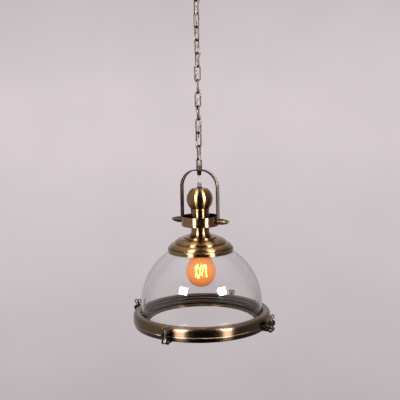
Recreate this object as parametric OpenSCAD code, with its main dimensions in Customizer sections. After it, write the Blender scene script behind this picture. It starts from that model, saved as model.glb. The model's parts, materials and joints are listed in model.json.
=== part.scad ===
// Dome pendant light hung on a link chain: a clear glass dome in a clamp ring closed by
// four swing bolts, under a stepped canopy that tilts in a strap bail.
// Millimetres. The origin is the middle of the ceiling face and the lamp hangs down to -Z.
// +X runs along the two tilt pivots of the bail.

/* [Chain] */
// Number of links
link_count = 13; // [6:1:13]
// Wire diameter of a link
wire = 3; // [2.4:0.1:3.2]
// Clear length inside a link
link_in = 28.2; // [24:0.2:36]
// Clear width inside a link
link_gap = 8.8; // [8.4:0.1:12]

/* [Hanging loops] */
// Wire diameter of the two cast loops
loop_wire = 3.2; // [2.6:0.1:3.4]
// Clear width inside a loop
loop_gap = 6.8; // [6.4:0.1:8]
// Height of a loop's bow above its collar
bow_h = 16.5; // [14:0.5:22]
// Height of a loop's ribbed collar
collar_h = 8.5; // [7:0.5:14]
// Radius of a loop's collar
collar_r = 6.3; // [5.6:0.1:8]

/* [Ceiling rose] */
// Outer radius of the rose
rose_r = 52; // [44:1:66]
// Height of the rose
rose_h = 32; // [28:1:45]
// Wall of the rose
rose_wall = 1.2; // [0.8:0.1:2]
// Distance between the two fixing slots of the strap
fixing_gap = 70; // [64:1:76]

/* [Bail] */
// Distance between the outer faces of the two legs
bail_w = 86.8; // [84:0.5:110]
// Height of the bail from the pivots to its top face
bail_h = 108; // [100:1:150]
// Width of the strap
strap_w = 12; // [10:0.5:18]
// Thickness of the strap
strap_t = 2.4; // [1.6:0.1:4]
// Outer radius of the two bends
bail_bend = 37; // [20:1:40]

/* [Head] */
// Outer radius of the open cup between the pivots
cup_r = 39.6; // [34:0.2:40]
// Height of the cup
cup_h = 20.4; // [16:0.2:28]
// Wall of the cup
cup_wall = 1.3; // [0.8:0.1:2]
// Outer radius of the neck sleeve
neck_r = 19.4; // [16:0.2:21]
// Radius of the ball cap
ball_r = 27.8; // [24:0.2:30]
// Height of the ball's flat top above the pivots
ball_top = 68.3; // [60:0.1:76]
// Height of the joint of ball and neck above the pivots
ball_foot = 25.9; // [22:0.1:30]
// Sheet thickness of the spun brass pieces
sheet = 1.5; // [1:0.1:2]

/* [Canopy] */
// Outer radius of the canopy's lip
canopy_r = 69.5; // [66:0.5:84]
// Height of the canopy from its lip to the cup
canopy_h = 55.1; // [51:0.1:62]
// Radius of the upper step
step_1 = 34.5; // [32:0.5:40]
// Radius of the lower step
step_2 = 54.5; // [50:0.5:58]
// Height of the canopy's lip
lip_h = 8.8; // [6:0.2:9]

/* [Glass] */
// Outer radius of the glass dome
dome_r = 127.9; // [110:0.1:128]
// Thickness of the glass
dome_wall = 3.5; // [3:0.1:5]
// Height of the dome's centre above the ring's shoulder
dome_rise = 15; // [10:0.5:20]
// Radius of the hole in the top of the dome
dome_hole = 21.5; // [20.5:0.1:24]

/* [Clamp ring] */
// Outer radius of both rings
ring_r = 144.5; // [142:0.5:165]
// Height of the upper ring
upper_h = 19; // [17:0.5:26]
// Height of the lower ring
lower_h = 9; // [8:0.5:14]
// Wall of the rings
ring_wall = 2.5; // [2:0.1:3.2]
// Radius of the rounded shoulder of the upper ring
shoulder = 7.5; // [5:0.5:10]
// Radius of the opening under the dome
mouth_r = 111.5; // [96:0.5:114]

/* [Swing bolts] */
// Number of swing bolts round the ring
bolt_count = 4; // [4:1:4]
// Distance of a bolt's axis from the ring's wall
bolt_out = 13; // [12.5:0.5:16]
// Diameter of a swing bolt
bolt_d = 5; // [4:0.2:5.2]
// Diameter of a hinge pin
pin_d = 4; // [3:0.2:4.4]
// Thickness of each ear of the lower ring
ear_t = 3.4; // [2.8:0.1:4.4]
// Reach of an upper lug past the ring's wall
lug_out = 20; // [19:0.5:24]

/* [Wing nuts] */
// Radius of a wing nut's foot
nut_r = 4.2; // [4:0.1:5]
// Height of a wing nut's hub
hub_h = 6.5; // [5:0.1:8]
// Clear width inside each wing's loop
wing_gap = 2.8; // [2.2:0.1:3.4]
// Height of each wing's loop above the hub
wing_h = 7; // [5:0.2:9]
// Thickness of each wing's rim
wing_t = 2.4; // [1.8:0.1:2.8]
// Lean of the wings away from the bolt, in degrees
wing_lean = 14; // [0:1:25]

/* [Tilt pivots] */
// Diameter of a pivot bolt
pivot_d = 6; // [5:0.2:7]
// Radius of the barrel between the leg and the wing nut
barrel_r = 6.2; // [5.6:0.1:7]
// Length of the barrel
barrel_l = 11.6; // [8:0.2:16]

/* [Bulb and lampholder] */
// Radius of the round part of the bulb
bulb_r = 32; // [26:0.5:36]
// Distance from the bulb's centre to its contact
bulb_reach = 70.2; // [66:0.2:80]
// Outer radius of the lampholder
holder_r = 19.6; // [18.5:0.1:20]
// Diameter of the threaded tube through the head
tube_d = 8; // [7:0.2:9]

/* [Cable] */
// Diameter of the clear cable
cable_d = 4; // [3:0.2:4.2]

/* [Hidden] */
$fn = 64;

// clearances
fit = 0.05;        // a shaft in its hole, all round
slack = 0.1;       // two pieces that hang or lie on each other
nut_lift = 0.15;   // a wing nut above its seat

// how each link of the hanging chain is turned about the vertical, top link first
link_turn = [70, 157, 64, 157, 79, 149, 39, 124, 52, 132, 62, 172, 90];
ceiling_turn = 160;
hanger_turn = 0;
// how each nut of the ring and of the pivots is turned about its own bolt
nut_turn = [35, 12, 25, 50];
pivot_turn = [20, -50];
// short straight in the middle of every bend, where the next link hangs
seat = 1.2;

// heights, from the ceiling down
bow_top = collar_h + bow_h - loop_wire / 2;        // a loop's foot to the middle of its bow's wire
hook_z = -rose_h - bow_top;                        // wire of the ceiling loop where link 1 hangs
link_long = link_in + wire;                        // between the middles of a link's two end wires
pitch = link_in - slack;
first_z = hook_z + (loop_wire + wire) / 2 + slack - link_long / 2;
function link_z(k) = first_z - pitch * (k - 1);
last_wire_z = link_z(link_count) - link_long / 2;  // wire of the last link where the bail hangs
bail_top_z = last_wire_z + (wire + loop_wire) / 2 + slack - bow_top;
pivot_z = bail_top_z - bail_h;
lip_z = pivot_z - cup_h / 2 - canopy_h;            // bottom edge of the canopy
flange_z = lip_z + 5.4;                            // canopy's inner flange, where the seal sits
flange_in = 60;
gasket_in = flange_in + 0.5;
dome_z = flange_z - 0.2 - sqrt(dome_r * dome_r - gasket_in * gasket_in);
shoulder_z = dome_z - dome_rise;                   // top corner of the upper ring
seam_z = shoulder_z - upper_h;
bottom_z = seam_z - lower_h;

// clamp ring
foot_r = dome_r + 8;                               // glass foot
foot_t = 4.5;
foot_top = -13;                                    // from the shoulder
seal_t = 1.8;                                      // rubber seals
web_t = 2.5;                                       // floor of the lower ring
web_top = foot_top - foot_t - seal_t;              // from the shoulder
pin_up = 3.5;                                      // hinge pin above the ring's bottom
bolt_r = ring_r + bolt_out;
pin_z = bottom_z + pin_up;
ear_r = 5;
eye_r = 4.5;
eye_w = bolt_d + 0.6;
ear_gap = eye_w + 0.4;
lug_w = 14;
lug_t = 9;
lug_top = -7;                                      // from the shoulder
slot_w = bolt_d + 0.6;
crown_r = shoulder_z + lug_top - pin_z;            // lug's crown is struck from the hinge pin
nut_seat = crown_r + nut_lift;                     // wing nut's foot above the hinge pin
cap_t = 1.4;                                       // closed end of a wing nut's hub
tip_room = 0.4;                                    // between a bolt's end and the closed end
bolt_tip = nut_seat + hub_h - cap_t - tip_room;

// head
leg_in = bail_w / 2 - strap_t;
nut_foot_x = bail_w / 2 + fit + barrel_l + nut_lift; // pivot nut's foot, out from the lamp's axis
eye_nut_r = barrel_r - 0.9;
neck_wall = 1.2;
bead_r = neck_r + 1;
bead_h = 4.1;
tube_hole = tube_d / 2 + fit;
cable_hole = cable_d / 2 + 0.3;
tube_top = ball_top + 2.7;
bush_h = 4.4;
grip_h = 7;
holder_top = -30.4;                                // from the pivots
holder_h = 36;
holder_wall = 1.3;
shade_r = 33;
shade_t = 3.9;

// bulb
contact_z = pivot_z + holder_top - 7.2;
bulb_z = contact_z - bulb_reach;
cap_r = 13.05;
cap_h = 25;
bulb_wall = 1;

// rose
bridge_z = -14;                                    // underside of the strap's middle
strap_bar = 2;
block_x = 9.5;
block_size = [15, 20, 9];

// turned round the lamp's axis
module around(k) {
  rotate([0, 0, 90 * (k - 1)]) children();
}

module hex_nut(across, high, hole) {
  difference() {
    cylinder(d = across / cos(30), h = high, $fn = 6);
    translate([0, 0, -1]) cylinder(r = hole, h = high + 2);
  }
}

module tube(r_out, r_in, low, high) {
  translate([0, 0, low]) difference() {
    cylinder(r = r_out, h = high - low);
    translate([0, 0, -1]) cylinder(r = r_in, h = high - low + 2);
  }
}

// a quarter bend of round wire in the XY plane, about the origin, starting at angle a
module bend(r, d, a) {
  rotate([0, 0, a]) rotate_extrude(angle = 90) translate([r, 0]) circle(d = d);
}

// half of a wire link in the XY plane: a flat-topped bow on two legs that start at y = 0
module bow(gap, d, high) {
  r = (gap + d - seat) / 2;
  leg = high - r;
  for (s = [0, 1]) {
    mirror([s, 0, 0]) {
      translate([seat / 2, leg, 0]) bend(r, d, 0);
      translate([seat / 2 + r, 0, 0]) rotate([-90, 0, 0]) cylinder(d = d, h = leg);
    }
  }
  translate([-seat / 2, high, 0]) rotate([0, 90, 0]) cylinder(d = d, h = seat);
}

module link(k) {
  color("#9a8560")
    translate([0, 0, link_z(k)]) rotate([0, 0, link_turn[k - 1]]) rotate([90, 0, 0])
      for (s = [0, 1]) mirror([0, s, 0]) bow(link_gap, wire, link_long / 2);
}

// a cast loop that stands on z = 0: bow, ribbed collar and hollow stem
module loop_fitting(stem) {
  difference() {
    union() {
      translate([0, 0, collar_h - 1]) rotate([90, 0, 0])
        bow(loop_gap, loop_wire, bow_h + 1 - loop_wire / 2);
      cylinder(r = collar_r, h = 1.6);
      translate([0, 0, 1.6]) cylinder(r = collar_r - 0.9, h = collar_h - 4.6);
      translate([0, 0, collar_h / 2 - 0.8]) cylinder(r = collar_r - 0.2, h = 1.6);
      translate([0, 0, collar_h - 3]) cylinder(r = collar_r, h = 1.6);
      translate([0, 0, collar_h - 1.4]) cylinder(r1 = collar_r, r2 = collar_r - 1, h = 1.4);
      translate([0, 0, -stem]) cylinder(r = 3.2, h = stem + 1);
    }
    translate([0, 0, -stem - 1]) cylinder(r = cable_hole, h = stem + collar_h);
    translate([0, 0, collar_h - 1.6]) cylinder(r1 = cable_hole, r2 = cable_hole + 1, h = 1.8);
  }
}

module ceiling_loop() {
  color("#8a6a3c")
    translate([0, 0, -rose_h]) rotate([0, 0, ceiling_turn]) rotate([180, 0, 0]) loop_fitting(8);
}

module hanger_loop() {
  color("#8a6a3c")
    translate([0, 0, bail_top_z]) rotate([0, 0, hanger_turn]) loop_fitting(strap_t + 6);
}

// Ceiling rose
module ceiling_strap() {
  foot = 44;
  flat = 27;
  color("silver")
    difference() {
      translate([0, strap_w / 2 + 2, 0]) rotate([90, 0, 0]) linear_extrude(strap_w + 4) union() {
        for (s = [0, 1]) mirror([s, 0]) {
          translate([flat, -strap_bar]) square([foot - flat, strap_bar]);
          translate([flat, bridge_z]) square([strap_bar, -bridge_z]);
        }
        translate([-flat - strap_bar, bridge_z]) square([2 * (flat + strap_bar), strap_bar]);
      }
      translate([0, 0, bridge_z - 1]) cylinder(r = 5 + fit, h = strap_bar + 2);
      for (s = [-1, 1]) translate([s * fixing_gap / 2, 0, -strap_bar - 1]) {
        for (t = [-1, 1]) translate([t * 3, 0, 0]) cylinder(r = 2.2, h = strap_bar + 2);
        translate([-3, -2.2, 0]) cube([6, 4.4, strap_bar + 2]);
      }
    }
}

module rose_outline(t) {
  square([rose_r - t, 6]);
  translate([0, 6]) intersection() {
    square([rose_r, rose_h]);
    union() {
      square([rose_r - 12 - t, rose_h - 6 - t]);
      intersection() {
        translate([rose_r - 22, 0]) circle(r = 22 - t);
        square([rose_r, rose_h - 6 - t]);
      }
      square([rose_r - 22, 22 - t]);
    }
  }
}

module rose_cup() {
  color("#8f6f42")
    rotate([180, 0, 0]) rotate_extrude() difference() {
      union() {
        intersection() {
          rose_outline(0);
          square([rose_r, rose_h]);
        }
        square([14, rose_h]);
      }
      translate([0, -0.01]) intersection() {
        rose_outline(rose_wall);
        square([rose_r, rose_h - rose_wall]);
      }
      translate([-1, -1]) square([1 + 5 + fit, rose_h + 2]);
    }
}

module rose_tube() {
  color("#b59a62") tube(5, 3.2 + fit, -rose_h + rose_wall / 2 - 0.6, bridge_z + strap_bar + 1.2);
}

module rose_nut() {
  color("#b59a62") translate([0, 0, bridge_z - 4]) hex_nut(14, 4, 5 + fit);
}

module terminal_block() {
  color("white")
    translate([block_x, -block_size[1] / 2, bridge_z + strap_bar]) difference() {
      cube(block_size);
      for (y = [5, 15]) {
        translate([-1, y, 3.6]) rotate([0, 90, 0]) cylinder(r = 1.4, h = block_size[0] + 2);
        for (x = [4, 11]) translate([x, y, 4.5]) cylinder(r = 1.6, h = 6);
      }
    }
}

// Bail and its fittings
module bail() {
  w = bail_w / 2;
  color("#7d6350")
    difference() {
      union() {
        translate([0, strap_w / 2, pivot_z]) rotate([90, 0, 0]) linear_extrude(strap_w) difference() {
          bail_outline(w, bail_h, bail_bend);
          translate([0, -1]) bail_outline(w - strap_t, bail_h - strap_t + 1, bail_bend - strap_t);
        }
        for (s = [-1, 1])
          translate([s * (w - strap_t / 2), 0, pivot_z]) rotate([0, 90, 0])
            cylinder(r = strap_w / 2, h = strap_t, center = true);
      }
      translate([-w - 1, 0, pivot_z]) rotate([0, 90, 0]) cylinder(r = pivot_d / 2 + fit, h = bail_w + 2);
      translate([0, 0, bail_top_z - 10]) cylinder(r = 3.2 + fit, h = 20);
    }
}

module bail_outline(w, high, r) {
  translate([-w, 0]) square([2 * w, high - r]);
  translate([-w + r, high - r]) square([2 * (w - r), r]);
  for (s = [-1, 1]) translate([s * (w - r), high - r]) circle(r = r);
}

module bail_cord_grip() {
  long = 9.6;
  body_r = 4.5;
  nose_h = 1.2;
  head_h = 3;
  color("#15120f")
    translate([0, 0, bail_top_z - strap_t]) rotate([180, 0, 0]) difference() {
      union() {
        cylinder(r = body_r + 0.4, h = head_h);
        translate([0, 0, head_h]) cylinder(r = body_r, h = long - head_h - nose_h);
        translate([0, 0, long - nose_h]) cylinder(r1 = body_r, r2 = body_r - 1, h = nose_h);
      }
      translate([0, 0, -1]) cylinder(r = 3.2 + fit, h = 7);
      cylinder(r = cable_d / 2 + fit, h = long + 1);
    }
}

module on_pivot(side) {
  translate([0, 0, pivot_z]) mirror([side < 0 ? 1 : 0, 0, 0]) rotate([0, 90, 0]) children();
}

module pivot_bolts() {
  head_r = 5 / cos(30);
  head_t = 3.7;
  // the flat head's corners come up against the round wall of the cup
  head_face = sqrt(pow(cup_r - cup_wall, 2) - head_r * head_r) - fit;
  color("#6d5634")
    for (s = [-1, 1]) on_pivot(s) {
      translate([0, 0, head_face - head_t]) cylinder(r = head_r, h = head_t, $fn = 6);
      translate([0, 0, cup_r - cup_wall - 1])
        cylinder(d = pivot_d, h = nut_foot_x + hub_h - cap_t - tip_room - cup_r + cup_wall + 1);
    }
}

module pivot_washers() {
  color("#6d5634")
    for (s = [-1, 1]) on_pivot(s) difference() {
      translate([0, 0, cup_r]) cylinder(r = barrel_r + 0.2, h = leg_in - cup_r - fit);
      translate([0, 0, cup_r - 1]) cylinder(r = pivot_d / 2 + fit, h = leg_in);
    }
}

module pivot_barrels() {
  color("#7a5f35")
    for (s = [-1, 1]) on_pivot(s) translate([0, 0, bail_w / 2]) difference() {
      union() {
        cylinder(r = barrel_r, h = barrel_l * 0.3);
        translate([0, 0, barrel_l * 0.3]) cylinder(r = barrel_r - 0.8, h = 1);
        translate([0, 0, barrel_l * 0.3 + 1]) cylinder(r = barrel_r, h = barrel_l * 0.7 - 2.2);
        translate([0, 0, barrel_l - 1.2]) cylinder(r1 = barrel_r, r2 = barrel_r - 1.2, h = 1.2);
      }
      translate([0, 0, -1]) cylinder(r = pivot_d / 2 + fit, h = barrel_l + 2);
    }
}

// a cast nut that stands on z = 0: a hub closed at the top, with the loops to turn it by
module cast_nut(hole, foot_r) {
  foot_h = 1.8;
  draw_in = 0.9;                                   // how much narrower the hub is at its top
  sunk = 1.2;                                      // how deep the loops stand in the hub
  difference() {
    union() {
      cylinder(r = foot_r, h = foot_h);
      translate([0, 0, foot_h]) cylinder(r1 = foot_r, r2 = foot_r - draw_in, h = hub_h - foot_h);
      translate([0, 0, hub_h - sunk]) children();
    }
    translate([0, 0, -1]) cylinder(r = hole, h = 1 + hub_h - cap_t);
  }
}

// two loops side by side that lean apart, along X
module wing_nut(hole) {
  cast_nut(hole, nut_r)
    for (s = [0, 1]) mirror([s, 0, 0]) rotate([0, wing_lean, 0])
      translate([(wing_gap + wing_t) / 2, 0, 0]) rotate([90, 0, 0]) bow(wing_gap, wing_t, wing_h);
}

// one upright loop
module eye_nut(hole) {
  cast_nut(hole, eye_nut_r) rotate([90, 0, 0]) bow(wing_gap, wing_t, wing_h - 1);
}

module pivot_wing_nut_left() {
  color("#7a5f35")
    on_pivot(-1) translate([0, 0, nut_foot_x]) rotate([0, 0, pivot_turn[0]]) eye_nut(pivot_d / 2 + fit);
}

module pivot_wing_nut_right() {
  color("#7a5f35")
    on_pivot(1) translate([0, 0, nut_foot_x]) rotate([0, 0, pivot_turn[1]]) eye_nut(pivot_d / 2 + fit);
}

// Head
module head_cord_grip() {
  low = pivot_z + ball_top + bush_h;
  color("#d8dde0", 0.6)
    difference() {
      union() {
        translate([0, 0, low]) cylinder(r = 4.6, h = 1.8);
        translate([0, 0, low + 1.8]) cylinder(r = 5, h = grip_h - 3);
        translate([0, 0, low + grip_h - 1.2]) cylinder(r1 = 5, r2 = 4.3, h = 1.2);
      }
      translate([0, 0, low - 1]) cylinder(r = cable_d / 2 + fit, h = grip_h + 2);
      for (a = [0, 60, 120]) rotate([0, 0, a])
        translate([-6, -0.5, low + grip_h - 3]) cube([12, 1, 4]);
    }
}

module top_bush() {
  low = pivot_z + ball_top;
  color("#2a2119")
    difference() {
      translate([0, 0, low]) cylinder(r1 = 5.6, r2 = 4.6, h = bush_h);
      translate([0, 0, low - 1]) cylinder(r = tube_hole, h = tube_top - ball_top + fit + 1);
      translate([0, 0, low]) cylinder(r = cable_hole, h = bush_h + 1);
    }
}

module ball_cap() {
  // centre height at which the ball meets the neck at the neck's own radius
  middle = ball_foot + sqrt(ball_r * ball_r - neck_r * neck_r);
  color("#6e4f1f")
    translate([0, 0, pivot_z]) rotate_extrude() difference() {
      intersection() {
        translate([0, middle]) circle(r = ball_r);
        translate([0, ball_foot]) square([ball_r + 1, ball_top - ball_foot]);
      }
      intersection() {
        translate([0, middle]) circle(r = ball_r - sheet);
        translate([0, ball_foot - 1]) square([ball_r + 1, ball_top - ball_foot - sheet + 1]);
      }
      translate([-1, 0]) square([1 + tube_hole, ball_top + 1]);
    }
}

module neck_sleeve() {
  floor_z = -cup_h / 2 + sheet;
  color("#6e4f1f")
    translate([0, 0, pivot_z]) rotate_extrude() difference() {
      union() {
        translate([0, floor_z]) square([neck_r, ball_foot - floor_z]);
        translate([0, ball_foot - bead_h]) square([bead_r - bead_h / 2 + 1, bead_h]);
        intersection() {
          translate([bead_r - bead_h / 2 - 0.6, ball_foot - bead_h / 2]) circle(r = bead_h / 2 + 0.6);
          translate([0, ball_foot - bead_h]) square([bead_r + 1, bead_h]);
        }
      }
      translate([-1, floor_z - 1]) square([1 + neck_r - neck_wall, ball_foot - floor_z + 2]);
    }
}

module cup() {
  color("#7a5a33")
    difference() {
      translate([0, 0, pivot_z - cup_h / 2]) rotate_extrude() difference() {
        union() {
          translate([0, 1.5]) square([cup_r, cup_h - 1.5]);
          square([cup_r - 1.5, 3]);
          translate([cup_r - 1.5, 1.5]) circle(r = 1.5);
        }
        translate([-1, sheet]) square([1 + cup_r - cup_wall, cup_h]);
        translate([-1, -1]) square([1 + tube_hole, cup_h]);
      }
      translate([-cup_r - 1, 0, pivot_z]) rotate([0, 90, 0])
        cylinder(r = pivot_d / 2 + fit, h = 2 * cup_r + 2);
    }
}

// outline of the stepped canopy, taken in by t, with its lip at y = 0
module canopy_outline(t) {
  neck = neck_r - 0.2;
  cove = 12;
  cove_z = canopy_h - 10.6;
  square([neck - t, canopy_h - t]);
  difference() {
    square([neck + cove, cove_z]);
    translate([neck + cove, cove_z]) circle(r = cove + t);
  }
  square([step_1 - t, cove_z - cove - t]);
  intersection() {
    translate([step_1 + 1.5, 4]) circle(r = 26 - t);
    square([step_2 - t, 30]);
  }
  intersection() {
    translate([step_2 + 1, 6.5]) circle(r = canopy_r - step_2 - 2.7 - t);
    translate([0, 6.5]) square([canopy_r, 16]);
  }
  translate([0, t > 0 ? -1 : 0]) square([canopy_r - 1.2 - t, lip_h + 1 - t + (t > 0 ? 1 : 0)]);
  if (t == 0) {
    translate([0, 1.4]) square([canopy_r, lip_h - 2.8]);
    for (y = [1.4, lip_h - 1.4]) translate([canopy_r - 1.4, y]) circle(r = 1.4);
  }
}

module canopy() {
  color("#6e4f1f")
    translate([0, 0, lip_z]) rotate_extrude() difference() {
      canopy_outline(0);
      difference() {
        canopy_outline(sheet);
        translate([flange_in, flange_z - lip_z]) square([canopy_r, sheet]);
      }
      translate([-1, 0]) square([1 + tube_hole, canopy_h + 1]);
      translate([0, dome_z - lip_z]) circle(r = dome_r + 0.3, $fn = 360);
    }
}

module threaded_tube() {
  color("#b59a62") tube(tube_d / 2, cable_hole, pivot_z + holder_top - 3, pivot_z + tube_top);
}

module tube_nut() {
  color("#b59a62")
    translate([0, 0, pivot_z - cup_h / 2 - sheet - 5]) hex_nut(13, 5, tube_hole);
}

module lampholder_shell() {
  top = pivot_z + holder_top;
  color("#8f7040") {
    tube(7, tube_hole, top, top + 6);
    tube(holder_r, tube_hole, top - sheet, top);
    tube(holder_r, holder_r - holder_wall, top - holder_h, top - sheet);
  }
}

module lampholder_insulator() {
  top = pivot_z + holder_top - sheet;
  r = holder_r - holder_wall - fit;
  mouth = 6.2;                                     // the shell's rim below the porcelain
  color("ivory")
    difference() {
      translate([0, 0, top - holder_h + mouth]) cylinder(r = r, h = holder_h - mouth);
      translate([0, 0, top - 2]) cylinder(r = tube_hole, h = 3);
      translate([0, 0, top - 7]) cylinder(r = cable_hole, h = 8);
      translate([0, 0, top - holder_h]) cylinder(r = cap_r + 0.55, h = contact_z + 1.3 - top + holder_h);
    }
}

module lampholder_contacts() {
  top = contact_z + 1.3;
  color("#c9a55a") {
    tube(cap_r + 0.5, cap_r + 0.15, contact_z - cap_h + 3, contact_z - 3);
    difference() {
      translate([0, 0, top - 1.1]) cylinder(r = 3.6, h = 1.1);
      translate([0, 0, top - 2]) cylinder(r = 1, h = 3);
    }
  }
}

module shade_ring() {
  top = dome_z + sqrt(pow(dome_r - dome_wall, 2) - shade_r * shade_r) - 1.4;
  color("#8f7040")
    translate([0, 0, top - shade_t]) rotate_extrude() difference() {
      union() {
        square([shade_r - 1.2, shade_t]);
        translate([0, 1.2]) square([shade_r, shade_t - 2.4]);
        for (y = [1.2, shade_t - 1.2]) translate([shade_r - 1.2, y]) circle(r = 1.2);
      }
      translate([-1, -1]) square([1 + holder_r + fit, shade_t + 2]);
    }
}

module shade_washer() {
  low = dome_z + sqrt(pow(dome_r - dome_wall, 2) - shade_r * shade_r) - 1.4;
  color("#2b2b2b")
    rotate_extrude() intersection() {
      translate([dome_hole, low]) square([shade_r - 2 - dome_hole, 8]);
      translate([0, dome_z]) circle(r = dome_r - dome_wall, $fn = 360);
    }
}

module canopy_gasket() {
  color("#2b2b2b")
    rotate_extrude() difference() {
      translate([gasket_in, flange_z - 8]) square([canopy_r - 1.4 - sheet - gasket_in, 8]);
      translate([0, dome_z]) circle(r = dome_r, $fn = 360);
    }
}

// a dome with a straight skirt that ends above the glass foot
module dome_outline(r) {
  intersection() {
    translate([0, dome_z]) circle(r = r, $fn = 360);
    translate([0, dome_z]) square([r + 1, r + 1]);
  }
  translate([0, shoulder_z + foot_top - foot_t]) square([r, dome_z - shoulder_z - foot_top + foot_t]);
}

module glass_dome() {
  low = shoulder_z + foot_top - foot_t;
  color("#e8eef0", 0.35)
    rotate_extrude() difference() {
      union() {
        dome_outline(dome_r);
        translate([0, low + 1.5]) square([foot_r, foot_t - 3]);
        translate([0, low]) square([foot_r - 1.5, foot_t]);
        for (y = [1.5, foot_t - 1.5]) translate([foot_r - 1.5, low + y]) circle(r = 1.5);
      }
      dome_outline(dome_r - dome_wall);
      translate([0, low - 2]) square([dome_r - dome_wall, 10]);
      translate([0, dome_z]) square([dome_hole, dome_r + 5]);
    }
}

module foot_gasket() {
  low = shoulder_z + web_top;
  color("#2b2b2b") tube(foot_r - 0.4, dome_r - dome_wall - 3, low, low + seal_t);
}

module upper_gasket() {
  low = shoulder_z + foot_top;
  color("#2b2b2b") tube(foot_r - 0.4, dome_r + 1.4, low, low + seal_t);
}

// one upper lug: a fork open to the outside, its crown struck from the hinge pin
module upper_lug() {
  end = ring_r + lug_out;
  difference() {
    intersection() {
      translate([0, 0, shoulder_z + lug_top - lug_t]) linear_extrude(lug_t) union() {
        translate([ring_r - ring_wall + 0.5, -lug_w / 2])
          square([end - 3 - ring_r + ring_wall - 0.5, lug_w]);
        translate([ring_r, -lug_w / 2 + 3]) square([end - ring_r, lug_w - 6]);
        for (s = [-1, 1]) translate([end - 3, s * (lug_w / 2 - 3)]) circle(r = 3);
      }
      union() {
        translate([bolt_r, 0, pin_z]) rotate([90, 0, 0])
          cylinder(r = crown_r, h = lug_w + 2, center = true);
        translate([0, -lug_w, bottom_z]) cube([bolt_r, 2 * lug_w, 60]);
      }
    }
    translate([bolt_r, 0, bottom_z]) cylinder(d = slot_w, h = 60);
    translate([bolt_r, -slot_w / 2, bottom_z]) cube([40, slot_w, 60]);
  }
}

module upper_ring() {
  top = shoulder_z;
  inner = dome_r + 1.9;
  rib = foot_r - 3;                                // presses on the seal over the glass foot
  lip_w = 2.2;                                     // turned-in lip beside the glass
  color("#5d4638") {
    rotate_extrude() difference() {
      union() {
        translate([inner, top - shoulder]) square([ring_r - shoulder - inner, shoulder]);
        intersection() {
          translate([ring_r - shoulder, top - shoulder]) circle(r = shoulder);
          translate([ring_r - shoulder, top - shoulder]) square(shoulder + 1);
        }
        translate([inner, top - upper_h]) square([ring_r - inner, upper_h - shoulder]);
      }
      difference() {
        union() {
          translate([inner + lip_w, top - shoulder])
            square([ring_r - shoulder - inner - lip_w, shoulder - ring_wall]);
          intersection() {
            translate([ring_r - shoulder, top - shoulder]) circle(r = shoulder - ring_wall);
            translate([ring_r - shoulder, top - shoulder]) square(shoulder + 1);
          }
          translate([inner + lip_w, top - upper_h - 1])
            square([ring_r - ring_wall - inner - lip_w, upper_h - shoulder + 1]);
        }
        translate([rib, top + foot_top + seal_t]) square([2.6, 20]);
      }
      translate([inner - 1, top - upper_h - 1]) square([lip_w + 1.1, upper_h - 7]);
    }
    for (k = [1 : bolt_count]) around(k) upper_lug();
  }
}

// a pair of ears with their hinge-pin hole, on the lower ring
module ears() {
  difference() {
    for (s = [-1, 1])
      translate([0, s * (ear_gap + ear_t) / 2 + ear_t / 2, 0]) rotate([90, 0, 0])
       linear_extrude(ear_t) union() {
        translate([bolt_r, pin_z]) circle(r = ear_r);
        translate([ring_r - ring_wall - 0.4, bottom_z]) square([bolt_out + ring_wall + 0.4, lower_h - 1.6]);
      }
    translate([bolt_r, 0, pin_z]) rotate([90, 0, 0])
      cylinder(r = pin_d / 2 + fit, h = ear_gap + 2 * ear_t + 2, center = true);
  }
}

module lower_ring() {
  web_z = shoulder_z + web_top - web_t;
  land = mouth_r + 9;
  taper = 2.6;                                     // how far the outer face draws in towards its bottom
  color("#5d4638") {
    rotate_extrude() union() {
      polygon([[ring_r - ring_wall - 0.5, seam_z], [ring_r - 0.5, seam_z], [ring_r - 0.5, seam_z - 1],
               [ring_r - taper, bottom_z + 1], [ring_r - taper - 1, bottom_z],
               [ring_r - taper - ring_wall, bottom_z], [ring_r - ring_wall - 0.5, seam_z - 2]]);
      translate([land, web_z]) square([ring_r - 1 - land, web_t]);
      translate([mouth_r + 1.6, web_z - 2]) square([land - mouth_r - 1.6 + web_t, web_t]);
      translate([mouth_r + 1.8, web_z + web_t / 2 - 2]) circle(r = 1.8);
      translate([foot_r + 0.4, web_z]) square([2, web_t + 4]);
      translate([ring_r - 2 * ring_wall - 0.1, web_z]) square([ring_wall, seam_z + 2.4 - web_z]);
    }
    for (k = [1 : bolt_count]) around(k) ears();
  }
}

module hinge_pins() {
  wide = ear_gap + 2 * ear_t;
  color("#6d5634")
    for (k = [1 : bolt_count]) around(k) translate([bolt_r, 0, pin_z]) rotate([90, 0, 0]) {
      cylinder(d = pin_d, h = wide, center = true);
      for (s = [0, 1]) mirror([0, 0, s]) translate([0, 0, wide / 2])
        cylinder(r1 = pin_d / 2 + 0.9, r2 = pin_d / 2, h = 1.1);
    }
}

module swing_bolt(k) {
  color("#8b8578")
    around(k) translate([bolt_r, 0, pin_z]) difference() {
      union() {
        rotate([90, 0, 0]) cylinder(r = eye_r, h = eye_w, center = true);
        translate([0, 0, 3]) cylinder(d = bolt_d, h = bolt_tip - 4);
        translate([0, 0, bolt_tip - 1]) cylinder(r1 = bolt_d / 2, r2 = bolt_d / 2 - 0.7, h = 1);
      }
      rotate([90, 0, 0]) cylinder(r = pin_d / 2 + fit, h = eye_w + 2, center = true);
    }
}

module ring_wing_nut(k) {
  color("#8a6a3c")
    around(k) translate([bolt_r, 0, pin_z + nut_seat]) rotate([0, 0, nut_turn[k - 1] - 90 * (k - 1)])
      wing_nut(bolt_d / 2 + fit);
}

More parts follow.
